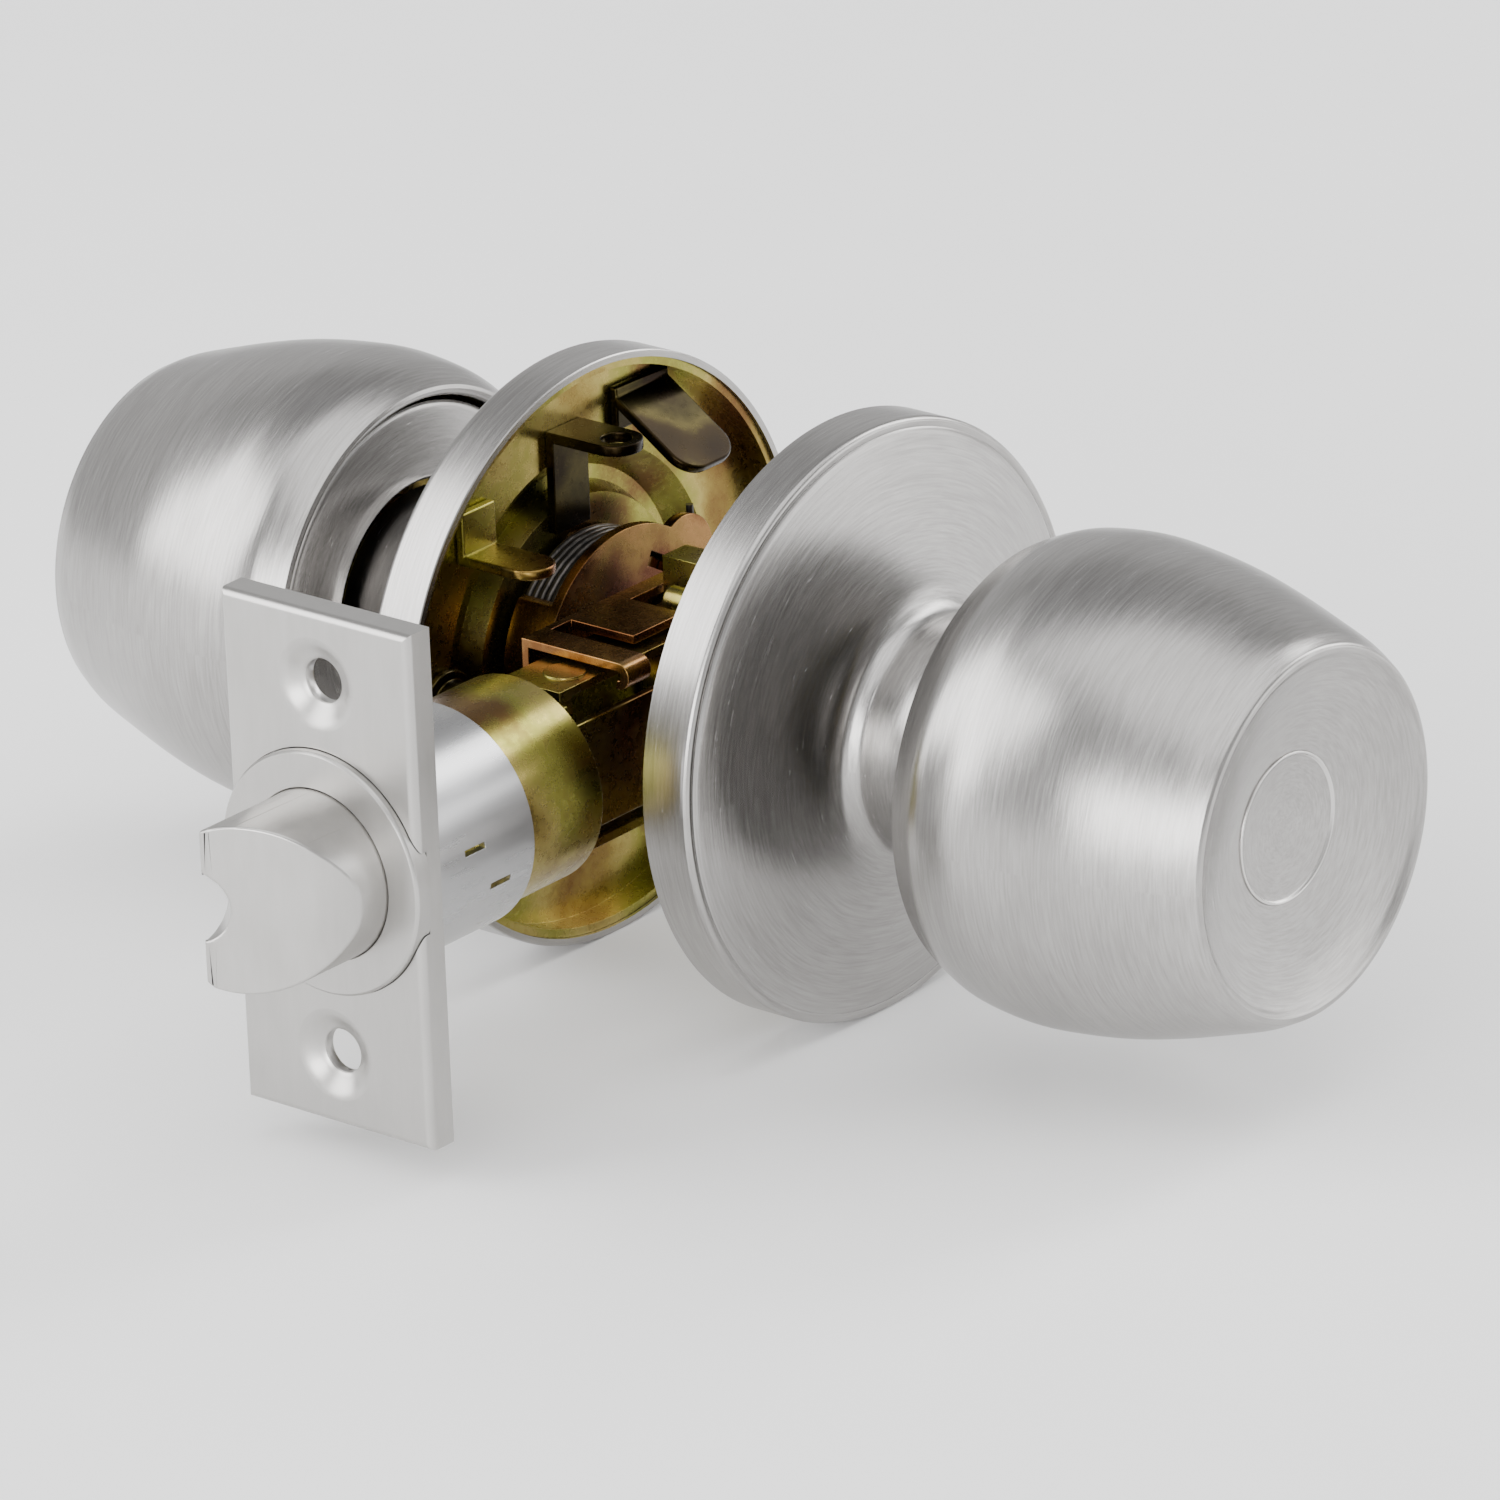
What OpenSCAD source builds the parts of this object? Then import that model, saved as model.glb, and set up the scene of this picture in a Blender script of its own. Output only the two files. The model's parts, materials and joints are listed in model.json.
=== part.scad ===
// Passage door knob set: two knobs with roses, tubular spring latch between them.
// Knob axis = Y, latch points to -X, Z up. Origin where knob axis and latch axis cross,
// in the middle of the door thickness.

/* [Door] */
// Clear gap between the backs of the two roses = door thickness
door_t = 32; // [32:0.5:45]
// Knob axis to the front of the faceplate
backset = 65; // [60:1:70]

/* [Rose] */
// Rose radius
rose_r = 33; // [30:0.5:36]
// Width of the straight rim
rose_rim = 6; // [4:0.5:10]
// Sheet thickness of rose and knob
sheet = 0.8; // [0.6:0.1:1.2]
// Outer radius of the neck
neck_r = 13; // [11:0.5:15]
// Neck length, from the back of the rose
neck_len = 27; // [24:0.5:34]

/* [Knob] */
// Largest knob radius
knob_r = 26.5; // [22:0.5:30]
// Distance of the front rim of the knob from the back of the rose
knob_out = 62.7; // [55:0.1:70]
// Radius of the raised face rim
face_r = 19.6; // [16:0.1:22]
// Depth of the dished face
dish = 4.1; // [1:0.1:6]
// Radius of the plain disc in the middle of the face
disc_r = 8.2; // [6:0.1:12]

/* [Hub] */
// Outer radius of the tube that carries the knob
hub_r = 11; // [9:0.1:12]
// Wall of that tube
hub_wall = 1.4; // [1:0.1:2]
// Radius of the half-round spindle
spindle_r = 6.2; // [5:0.1:7]
// Sheet thickness of the spindle
spindle_t = 1.4; // [1:0.1:2]

/* [Latch] */
// Faceplate width
plate_w = 25.4; // [22:0.1:28.6]
// Faceplate height
plate_h = 57.15; // [54:0.05:60]
// Depth of the turned sides of the faceplate
plate_d = 3.6; // [2.5:0.1:5]
// Sheet thickness of the faceplate
plate_t = 1.4; // [1:0.1:2]
// Distance between the two faceplate screws
screw_span = 41.3; // [38:0.1:44]
// Radius of the flange ring
ring_r = 13.4; // [12.8:0.1:14]
// Radius of the chrome barrel
barrel_r = 12.4; // [11:0.1:12.7]
// Radius of the bolt
bolt_r = 9.3; // [8:0.1:10]
// How far the bolt stands out of the flange ring
bolt_out = 13.5; // [12:0.1:14]
// Bolt travel
throw = 12.7; // [10:0.1:12.7]

/* [Hidden] */
$fn = 96;
half = door_t / 2;
gap = 0.3;
fit = 0.05;
wall = 0.1;
seam = 0.03;
rim_y = half + rose_rim;
neck_y = half + neck_len;
knob_back = half + 26;
cap_y = half + 26.3;
face_y = half + knob_out;
shell_t = 1;
bore_r = hub_r - hub_wall;
plate_x = -backset;
ring_x = plate_x - 1;
tip_x = ring_x - bolt_out;
barrel_end = plate_x + 18.8;
sleeve_end = plate_x + 31;
sleeve_r = barrel_r - 0.9;
sleeve_in = sleeve_r - 0.7;
liner_y = half + 3.8;
post_x = 23;
cam_r = 8.2;
horn_r = throw;
tail_web = -31.5;
seat_x = sleeve_end - 5;
shoulder_x = plate_x + 6.5;

steel = [0.76, 0.75, 0.73];
chrome = [0.86, 0.87, 0.88];
gold = [0.72, 0.6, 0.28];
dark = [0.2, 0.19, 0.18];

// ---------- helpers ----------

// Puts a part drawn along +Z (outwards from the door) on the front or the rear side.
module on_side(rear) {
    rotate([90, 0, rear ? 180 : 0])
        children();
}

// Smooth curve through stations: Catmull-Rom, n steps between two stations.
function cr(a, b, c, d, t) = 0.5 * ((2 * b) + (c - a) * t + (2 * a - 5 * b + 4 * c - d) * t * t
    + (3 * b - a - 3 * c + d) * t * t * t);
function at(p, i) = p[min(max(i, 0), len(p) - 1)];
function smooth(p, n) = concat([for (i = [0 : len(p) - 2]) for (k = [0 : n - 1])
    cr(at(p, i - 1), at(p, i), at(p, i + 1), at(p, i + 2), k / n)], [p[len(p) - 1]]);

// Arc points from angle a0 to a1 about c.
function arc(c, r, a0, a1, n) = [for (k = [0 : n])
    c + r * [cos(a0 + (a1 - a0) * k / n), sin(a0 + (a1 - a0) * k / n)]];

// Round wire wound about Z from angle a0, with straight tangent legs at both ends.
module coil(r, wire, pitch, turns, a0, leg_start, leg_end) {
    per = 28;
    sides = 8;
    steps = round(per * turns);
    // each station: angle, height, shift along the tangent
    line = concat([[a0, 0, -leg_start]], [for (i = [0 : steps]) [a0 + 360 * i / per, pitch * i / per, 0]],
        [[a0 + 360 * steps / per, pitch * steps / per, leg_end]]);
    pts = [for (q = line) for (k = [0 : sides - 1])
        let (b = 360 * k / sides, d = r + wire * cos(b))
        [d * cos(q[0]) - q[2] * sin(q[0]), d * sin(q[0]) + q[2] * cos(q[0]), q[1] + wire * sin(b)]];
    walls = [for (i = [0 : len(line) - 2]) for (k = [0 : sides - 1])
        let (m = (k + 1) % sides)
        [i * sides + k, (i + 1) * sides + k, (i + 1) * sides + m, i * sides + m]];
    start = [[for (k = [0 : sides - 1]) k]];
    end = [[for (k = [0 : sides - 1]) (len(line) - 1) * sides + sides - 1 - k]];
    polyhedron(pts, concat(walls, start, end), convexity = 10);
}

// Flat tongue with a round end: length along +X, thickness along Z.
module tongue(length, width, t) {
    translate([0, -width / 2, 0])
        cube([length - width / 2, width, t]);
    translate([length - width / 2, 0, 0])
        cylinder(r = width / 2, h = t);
}

// ---------- knob side ----------

function knob_line() = smooth([[24.1, knob_back + 0.15], [25.1, knob_back + 2.2],
    [26, knob_back + 5], [knob_r, knob_back + 10], [26.15, knob_back + 15],
    [25.4, knob_back + 20], [24.2, knob_back + 25], [22.7, knob_back + 30],
    [21.4, knob_back + 34], [20.3, face_y - 0.5]], 4);

function dish_y(r) = face_y - 0.2 - dish + dish * (r / face_r) * (r / face_r);

// Spun shell: rolled back edge, barrel-shaped side, raised rim, dished face.
module knob_shell() {
    outer = knob_line();
    rim = arc([face_r, face_y - 0.75], 0.75, 20, 105, 6);
    hole = disc_r + seam;
    face_out = [for (k = [1 : 10]) let (r = face_r - 0.3 - (face_r - 0.3 - hole) * k / 10)
        [r, dish_y(r)]];
    face_in = [for (k = [10 : -1 : 1]) let (r = face_r - 1.2 - (face_r - 1.2 - hole) * k / 10)
        [r, dish_y(r) - shell_t]];
    inner = [for (k = [len(outer) - 1 : -1 : 1]) if (outer[k][1] > knob_back + 3.2)
        outer[k] - [shell_t, 0]];
    edge = [[23.1, knob_back + 3], [22.8, knob_back + 1.6], [23.0, knob_back + 0.4],
        [23.4, knob_back]];
    color(steel)
        rotate_extrude()
            polygon(concat(outer, rim, face_out, face_in, inner, edge));
}

// Plain disc in the middle of the face, with a fine raised edge.
module face_disc() {
    top = [for (k = [8 : -1 : 0]) let (r = (disc_r - 0.5) * k / 8) [r, dish_y(r)]];
    color(steel)
        rotate_extrude()
            polygon(concat([[0, dish_y(0) - 1.2], [disc_r + 0.9, dish_y(disc_r) - 1.9],
                [disc_r + 0.9, dish_y(disc_r) - shell_t - seam], [disc_r, dish_y(disc_r) - shell_t - seam],
                [disc_r, dish_y(disc_r) + 0.12], [disc_r - 0.12, dish_y(disc_r) + 0.2],
                [disc_r - 0.4, dish_y(disc_r) + 0.12]], top));
}

// Annular closing ring at the back of the knob, slightly dished, with a rolled inner edge.
module knob_cap() {
    hole = neck_r + 0.7;
    color(steel)
        rotate_extrude()
            polygon(concat([[22.2 - seam, cap_y + 1.1], [22.2 - seam, cap_y + 3.6], [21.4, cap_y + 3.6],
                [21.4, cap_y + 2.0], [hole + 0.9, cap_y + 0.9], [hole + 0.9, cap_y + 2.6],
                [hole, cap_y + 2.6]], arc([hole + 0.6, cap_y + 0.4], 0.6, 180, 270, 5),
                [[21.6, cap_y + 0.8]]));
}

// Pressed disc inside the shell: carries the hub tube and closes behind the cap.
module insert() {
    inner_y = knob_back + 4.4;
    color(gold)
        rotate_extrude()
            polygon([[hub_r + seam, inner_y], [22.2, inner_y], [22.2, inner_y - 2], [22.9, inner_y - 0.4],
                [24.8, inner_y + 0.6], [24.8, inner_y + 5.6], [23.8, inner_y + 5.6],
                [23.8, inner_y + 1.4], [hub_r + 1.2, inner_y + 1.4],
                [hub_r + 1.2, inner_y + 6], [hub_r + seam, inner_y + 6]]);
}

// Tube from the latch through the neck into the knob, with a groove for the clip.
module hub() {
    hub_in = half - 2 + seam;
    groove_y = liner_y + 0.1;
    color(gold)
        difference() {
            translate([0, 0, hub_in])
                cylinder(r = hub_r, h = knob_back + 12 - hub_in);
            translate([0, 0, hub_in - 1])
                cylinder(r = bore_r, h = knob_back + 14);
            translate([0, 0, groove_y - 1.2])
                difference() {
                    cylinder(r = hub_r + 1, h = 0.8);
                    cylinder(r = hub_r - 0.5, h = 0.8);
                }
        }
}

// Half-round outline of the spindle seat, clearance c.
module half_round(c) {
    intersection() {
        circle(r = spindle_r + c);
        translate([-10, -10])
            square([20, 10 + 0.8 + c]);
    }
}

// Disc inside the hub tube that the spindle turns.
module driver(c) {
    color(gold)
        translate([0, 0, half - 2 + seam])
            difference() {
                cylinder(r = bore_r - seam, h = 3);
                translate([0, 0, -1])
                    linear_extrude(height = 5)
                        half_round(c);
            }
}

// Open retaining ring in the hub groove.
module clip() {
    color(dark)
        translate([0, 0, liner_y - 1.1])
            difference() {
                cylinder(r = hub_r + 0.9, h = 0.8);
                translate([0, 0, -1])
                    cylinder(r = hub_r - 0.5, h = 3);
                translate([-2.5, 0, -1])
                    cube([5, 20, 3]);
            }
}

// Snap-on cover: straight rim with a fine bead, shallow cone, concave fillet, neck.
module rose() {
    r1 = rose_r;
    r2 = neck_r + 2.2;
    y2 = rim_y + 4.6;
    outer = concat([[r1, half], [r1, rim_y - 0.9]], arc([r1 - 0.7, rim_y - 0.7], 0.7, 0, 80, 5),
        [[r1 - 1.1, rim_y - 0.1], [r1 - 1.3, rim_y + 0.1]],
        smooth([[r2 + 3, rim_y + 3.9], [r2, y2 + 0.15], [neck_r + 0.7, y2 + 1.1],
        [neck_r, y2 + 2.4], [neck_r, y2 + 4]], 5), [[neck_r, neck_y]]);
    inner = concat([[neck_r - sheet, neck_y]],
        smooth([[neck_r - sheet, y2 + 4], [neck_r - sheet, y2 + 2.2],
        [neck_r - 0.1, y2 + 0.5], [r2 - 0.3, y2 - 0.7], [r2 + 3, rim_y + 3.0]], 5),
        [[r1 - 1.6, rim_y - 0.8], [r1 - sheet, rim_y - 1.2], [r1 - sheet, half]]);
    color(steel)
        difference() {
            rotate_extrude()
                polygon(concat(outer, inner));
            translate([-rose_r, -1.6, half + 2.8])
                rotate([0, 90, 0])
                    cylinder(r = 0.9, h = 3, center = true);
            translate([-rose_r - 1, -0.2, half + 0.9])
                cube([3, 0.8, 1.2]);
        }
}

// Zinc-plated inner plate: outer lip, stepped floor, long bearing for the hub.
module liner(screw_r) {
    lip = rose_r - sheet - seam;
    bearing_end = neck_y - 9;
    color(gold)
        difference() {
            rotate_extrude()
                polygon([[lip, half + 0.5], [lip, liner_y + 0.6], [lip - 0.9, liner_y + 1.1],
                    [22.5, liner_y + 1.1], [19.9, liner_y + 3.6], [17, liner_y + 3.6],
                    [15.8, liner_y + 1.1], [neck_r - sheet - fit, liner_y + 1.1],
                    [neck_r - sheet - fit, bearing_end], [hub_r + fit, bearing_end],
                    [hub_r + fit, liner_y], [16.6, liner_y], [17.6, liner_y + 2.5],
                    [19.2, liner_y + 2.5],
                    [22, liner_y], [lip - 0.9, liner_y], [lip - 0.9, half + 0.5]]);
            for (s = [-1, 1])
                translate([s * post_x, 0, liner_y - 1])
                    cylinder(r = screw_r, h = 4);
        }
}

// Torsion return spring: closed coils round the hub, one leg to the saddle, one to the stop.
module return_spring() {
    low = half - 1.5;
    color(dark)
        translate([0, 0, low])
            coil(hub_r + 1.9, 0.42, 0.9, 5.25, 180, 13, 6.5);
}

// Round plate on the end of the hub: half-round hole, two ears, two slots, spring guard wall.
module saddle(c) {
    t = 1.2;
    plate_r = 14.5;
    guard_r = hub_r + 2.6;
    guard_h = 5.8;
    ear = 13;
    color(gold)
        translate([0, 0, half - 3.2])
            difference() {
                union() {
                    cylinder(r = plate_r, h = t);
                    for (a = [140, 320])
                        rotate([0, 0, a])
                            translate([ear, 0, 0])
                                cylinder(r = 4.6, h = t);
                    intersection() {
                        difference() {
                            cylinder(r = plate_r, h = guard_h);
                            cylinder(r = guard_r, h = guard_h + 1);
                        }
                        translate([-7, -20, 0])
                            cube([27, 29, guard_h]);
                    }
                }
                for (a = [120, 300])
                    rotate([0, 0, a])
                        translate([9.7, -1.7, -1])
                            cube([1.7, 3.4, t + 2]);
                translate([0, 0, -1])
                    linear_extrude(height = t + 2)
                        half_round(c);
            }
}

// Fixed stop beside the spring: foot on the liner floor and a round-ended tongue.
module spring_stop() {
    x = 17;
    up = 16.3;
    wide = 5.6;
    color(gold) {
        translate([x - wide / 2, up - 1.2, liner_y - 1.1])
            cube([wide, 6, 1.1]);
        translate([x, up, liner_y - 1.1])
            rotate([0, 90, 0])
                rotate([90, 0, 0])
                    tongue(9.6, wide, 1.2);
    }
}

// Threaded post for one of the two fixing screws.
module post(x) {
    color(gold)
        translate([x, 0, 0])
            difference() {
                union() {
                    translate([0, 0, half - 6])
                        cylinder(r = 3.1, h = liner_y - half + 6);
                    translate([0, 0, liner_y - 1])
                        cylinder(r = 4.2, h = 1);
                }
                translate([0, 0, half - 7])
                    cylinder(r = 2.1, h = liner_y);
            }
}

// Bracket above the hub: upright strip on the liner and a tongue with an eye.
module bracket() {
    x = 1.6;
    low = 14;
    up = 25.6;
    wide = 5.8;
    reach = 9.4;
    color(gold) {
        translate([x - wide / 2, low, liner_y - 1.1])
            cube([wide, up - low, 1.1]);
        difference() {
            translate([x, up, liner_y - 1.1])
                rotate([0, 90, 0])
                    rotate([90, 0, 0])
                        tongue(reach, wide, 1.2);
            translate([x, up - 2, liner_y - 1.1 - reach + wide / 2])
                rotate([-90, 0, 0])
                    cylinder(r = 1.7, h = 4);
        }
    }
}

// Broad tab at the upper right, bent down towards the hub.
module guide_tab() {
    x = -10.8;
    wide = 9;
    base = 25.5;
    lean = 34;
    reach = 12;
    t = 1.2;
    foot_z = liner_y - 1.1;
    down = [-sin(lean), -cos(lean)];
    a0 = [base + 1, foot_z];
    a1 = a0 + down * reach;
    b1 = a1 + t * [-cos(lean), sin(lean)];
    b0 = a0 - [t / cos(lean), 0];
    color(gold)
        translate([x - wide / 2, 0, 0])
            rotate([90, 0, 90])
                linear_extrude(height = wide)
                    polygon([[base + 2, liner_y], [base - 3, liner_y], [base - 3, foot_z],
                        b0, b1, a1, a0, [base + 2, foot_z]]);
}

module front_knob() {
    on_side(false)
        knob_shell();
}

module rear_knob() {
    on_side(true)
        knob_shell();
}

module front_face_disc() {
    on_side(false)
        face_disc();
}

module rear_face_disc() {
    on_side(true)
        face_disc();
}

module front_knob_cap() {
    on_side(false)
        knob_cap();
}

module rear_knob_cap() {
    on_side(true)
        knob_cap();
}

module front_insert() {
    on_side(false)
        insert();
}

module rear_insert() {
    on_side(true)
        insert();
}

module front_hub() {
    on_side(false)
        hub();
}

module rear_hub() {
    on_side(true)
        hub();
}

module front_driver() {
    on_side(false)
        driver(0);
}

module rear_driver() {
    on_side(true)
        driver(gap);
}

module front_clip() {
    on_side(false)
        clip();
}

module rear_clip() {
    on_side(true)
        clip();
}

module front_rose() {
    on_side(false)
        rose();
}

module rear_rose() {
    on_side(true)
        rose();
}

module front_liner() {
    on_side(false)
        liner(2.8);
}

module rear_liner() {
    on_side(true)
        liner(2.1);
}

module front_spring() {
    on_side(false)
        return_spring();
}

module rear_spring() {
    on_side(true)
        return_spring();
}

module front_saddle() {
    on_side(false)
        saddle(0);
}

module rear_saddle() {
    on_side(true)
        saddle(gap);
}

module front_stop() {
    on_side(false)
        spring_stop();
}

module rear_stop() {
    on_side(true)
        spring_stop();
}

module rear_post_left() {
    on_side(true)
        post(post_x);
}

module rear_post_right() {
    on_side(true)
        post(-post_x);
}

module rear_bracket() {
    on_side(true)
        bracket();
}

module rear_tab() {
    on_side(true)
        guide_tab();
}

// Half-round channel, open upwards, through both hubs and the cam.
module spindle() {
    length = 2 * (half + 14);
    color(gold)
        rotate([90, 0, 0])
            translate([0, 0, -length / 2])
                linear_extrude(height = length)
                    difference() {
                        half_round(0);
                        circle(r = spindle_r - spindle_t);
                    }
}

// ---------- latch ----------

// Stamped faceplate with turned sides, a round opening and two countersunk holes.
module faceplate() {
    soft = 1.1;
    color(steel)
        difference() {
            union() {
                translate([plate_x + soft, -plate_w / 2, -plate_h / 2])
                    cube([plate_d - soft, plate_w, plate_h]);
                translate([plate_x, -plate_w / 2 + soft, -plate_h / 2 + soft])
                    cube([plate_d, plate_w - 2 * soft, plate_h - 2 * soft]);
                for (s = [-1, 1]) {
                    translate([plate_x + soft, s * (plate_w / 2 - soft), -plate_h / 2])
                        cylinder(r = soft, h = plate_h);
                    translate([plate_x + soft, -plate_w / 2, s * (plate_h / 2 - soft)])
                        rotate([-90, 0, 0])
                            cylinder(r = soft, h = plate_w);
                }
            }
            translate([plate_x + plate_t, -plate_w / 2 + plate_t, -plate_h / 2 + plate_t])
                cube([plate_d, plate_w - 2 * plate_t, plate_h - 2 * plate_t]);
            translate([plate_x - 1, 0, 0])
                rotate([0, 90, 0])
                    cylinder(r = ring_r + wall, h = plate_t + 1 + wall);
            for (s = [-1, 1])
                translate([plate_x, 0, s * screw_span / 2])
                    rotate([0, 90, 0]) {
                        translate([0, 0, -1])
                            cylinder(r = 2.4, h = 5);
                        translate([0, 0, -0.01])
                            cylinder(r1 = 4.6, r2 = 2.4, h = 1.3);
                    }
        }
}

// Flat plate behind the faceplate that the screws pass through.
module backplate() {
    x0 = plate_x + plate_t;
    color(steel)
        difference() {
            translate([x0, -plate_w / 2 + plate_t + wall, -plate_h / 2 + plate_t + wall])
                cube([1.2, plate_w - 2 * plate_t - 2 * wall, plate_h - 2 * plate_t - 2 * wall]);
            translate([x0 - 1, 0, 0])
                rotate([0, 90, 0])
                    cylinder(r = bolt_r + gap, h = 4);
            for (s = [-1, 1])
                translate([x0 - 1, 0, s * screw_span / 2])
                    rotate([0, 90, 0])
                        cylinder(r = 2.4, h = 4);
        }
}

// Ring round the bolt, slightly proud of the faceplate.
module flange_ring() {
    color(steel)
        translate([ring_x, 0, 0])
            rotate([0, 90, 0])
                difference() {
                    union() {
                        cylinder(r1 = ring_r - 0.3, r2 = ring_r, h = 0.3);
                        translate([0, 0, 0.3])
                            cylinder(r = ring_r, h = plate_t + 0.7);
                    }
                    translate([0, 0, -1])
                        cylinder(r = bolt_r + fit, h = 5);
                }
}

// Bright tube behind the plate, with a stepped front wall and two short stamped slots.
module barrel() {
    x0 = plate_x + plate_t + 1.2;
    step_x = plate_x + plate_d + wall;
    slot_z = [1.6, -3.4];
    color(chrome)
        difference() {
            union() {
                translate([x0, 0, 0])
                    rotate([0, 90, 0])
                        cylinder(r = plate_w / 2 - plate_t - 2 * wall, h = 2);
                translate([step_x, 0, 0])
                    rotate([0, 90, 0])
                        cylinder(r = barrel_r, h = barrel_end - step_x);
            }
            translate([x0 - 1, 0, 0])
                rotate([0, 90, 0])
                    cylinder(r = bolt_r + gap, h = 5);
            translate([step_x + 1, 0, 0])
                rotate([0, 90, 0])
                    cylinder(r = sleeve_r, h = backset);
            for (k = [0, 1])
                translate([plate_x + 8 + 4 * k, -barrel_r - 1, slot_z[k]])
                    cube([3.2, 3, 0.7]);
        }
}

// Zinc-yellow tube inside the barrel, reaching back to the cam frame.
module sleeve() {
    x0 = plate_x + 6;
    color(gold)
        translate([x0, 0, 0])
            rotate([0, 90, 0])
                difference() {
                    cylinder(r = sleeve_r, h = sleeve_end - x0);
                    translate([0, 0, -1])
                        cylinder(r = sleeve_in, h = backset);
                }
}

// Washer inside the sleeve that the bolt spring pushes against.
module spring_seat() {
    color(gold)
        translate([seat_x - 1.2, 0, 0])
            rotate([0, 90, 0])
                difference() {
                    cylinder(r = sleeve_in, h = 1.2);
                    translate([0, 0, -1])
                        cylinder(r = 3.4, h = 4);
                }
}

// Plate beside the cam: end held inside the sleeve, slim arm, round bearing for the cam.
module frame_plate(s) {
    narrow = 8.9;
    slim = 6.2;
    boss = 9.6;
    t = 1;
    color(gold)
        translate([0, s * 5.5 - t / 2, 0])
            rotate([-90, 0, 0])
                difference() {
                    union() {
                        translate([seat_x, -narrow, 0])
                            cube([sleeve_end - seat_x + 1.5, 2 * narrow, t]);
                        translate([sleeve_end, -slim, 0])
                            cube([-sleeve_end, 2 * slim, t]);
                        cylinder(r = boss, h = t);
                    }
                    translate([0, 0, -1])
                        cylinder(r = 7.4 + fit, h = t + 2);
                }
}

// Formed cover over the two arms: side flange, top plate, and a strip with a curled lip.
module frame_cover() {
    top = 11.2;
    t = 1;
    side = 6;
    lip = 6.2;
    curl = 1.5;
    strip = [-24.6, -20.8];
    plate = [-17.5, -9.2];
    c = [-lip, top - curl];
    color(gold) {
        translate([strip[0], side, 3.4])
            cube([-11.5 - strip[0], t, top - 3.4]);
        translate([strip[0], side, 8.3])
            cube([2 - strip[0], t, top - 8.3]);
        translate([plate[0], 4.6, top - t])
            cube([2 - plate[0], side + 0.5 - 4.6, t]);
        translate([plate[0], -2.6, top - t])
            cube([plate[1] - plate[0], side + 0.5 + 2.6, t]);
        translate([strip[0], 0, 0])
            rotate([90, 0, 90])
                linear_extrude(height = strip[1] - strip[0])
                    polygon(concat([[side + 0.5, top], [side + 0.5, top - t]],
                        arc(c, curl - t, 90, 285, 10), arc(c, curl, 285, 90, 14)));
    }
}

module frame_front() {
    frame_plate(-1);
}

module frame_rear() {
    frame_plate(1);
}

// Bolt: round bar, flat back, convex bevel to a thin notched tip, shoulder at the inner end.
module bolt() {
    flat_y = 4.1;
    notch_r = 3.9;
    notch_out = 1.5;
    bevel = smooth([[-bolt_r - 0.2, 2.4], [-8.9, 4.6], [-6.4, 7.8], [-2, 10.9], [3, bolt_out]], 6);
    back = [[flat_y, bolt_out], [flat_y, 0.6], [bolt_r + 1, 0.6], [bolt_r + 1, -30],
        [-bolt_r - 1, -30], [-bolt_r - 1, 2.4]];
    color(steel) {
        difference() {
            intersection() {
                translate([tip_x - 1, 0, 0])
                    rotate([0, 90, 0])
                        cylinder(r = bolt_r, h = shoulder_x - tip_x + 1);
                translate([0, 0, -20])
                    linear_extrude(height = 40)
                        polygon([for (p = concat(bevel, back)) [ring_x - p[1], p[0]]]);
            }
            translate([tip_x, 3.5, 0])
                rotate([0, 0, -45])
                    translate([-notch_out, 0, 0])
                        rotate([90, 0, 0])
                            cylinder(r = notch_r, h = 12, center = true);
        }
        translate([shoulder_x - 1.4, 0, 0])
            rotate([0, 90, 0])
                cylinder(r = sleeve_in - gap, h = 1.4);
    }
}

// Draw rod, web and two slotted arms with hooks that the cam horns pull.
module bolt_tail() {
    arm = 4;
    low = 8.6;
    t = 1;
    hook_x = -4.5;
    hook_top = 14.8;
    window = 11.4;
    color(gold) {
        translate([shoulder_x, 0, 0])
            rotate([0, 90, 0])
                cylinder(r = 3, h = tail_web - shoulder_x);
        translate([tail_web, -arm, -low - t])
            cube([2, 2 * arm, 2 * (low + t)]);
        translate([-26.6, -0.6, low])
            cylinder(r = 2.3, h = t + 0.2);
        for (s = [-1, 1])
            scale([1, 1, s]) {
                difference() {
                    union() {
                        translate([tail_web + 2, -arm, low])
                            cube([hook_x - tail_web - 2, 2 * arm, t]);
                        translate([hook_x, -arm, low])
                            cube([1.2, 2 * arm, hook_top - low]);
                    }
                    translate([-16, -2, low - 1])
                        cube([16, 4, window - low + 1]);
                }
                translate([hook_x + 1.2, -arm, hook_top - 1.2])
                    cube([2.4, 2 * arm, 1.2]);
                translate([hook_x + 3.6, arm, hook_top - 1.8])
                    rotate([90, 0, 0])
                        cylinder(r = 1.8, h = 2 * arm);
            }
    }
}

// Compression spring behind the bolt shoulder.
module bolt_spring() {
    wire = 0.4;
    room = seat_x - 1.2 - shoulder_x;
    turns = 6;
    color(dark)
        translate([shoulder_x + wire, 0, 0])
            rotate([0, 90, 0])
                coil(7, wire, (room - 2 * wire) / turns, turns, 0, 0, 0);
}

// Cam: journals in the frame plates, half-round hole, two horns leaning towards the bolt.
module cam() {
    horn = 1.5;
    color(gold)
        rotate([90, 0, 0])
            difference() {
                union() {
                    cylinder(r = cam_r, h = 9, center = true);
                    cylinder(r = 7.4, h = 13, center = true);
                    for (s = [-1, 1])
                        rotate([0, 0, s > 0 ? 120 : 240]) {
                            translate([0, -horn, -1.5])
                                cube([horn_r, 2 * horn, 3]);
                            translate([horn_r, 0, -1.5])
                                cylinder(r = horn, h = 3);
                        }
                }
                translate([0, 0, -10])
                    linear_extrude(height = 20)
                        half_round(gap);
            }
}

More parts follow.
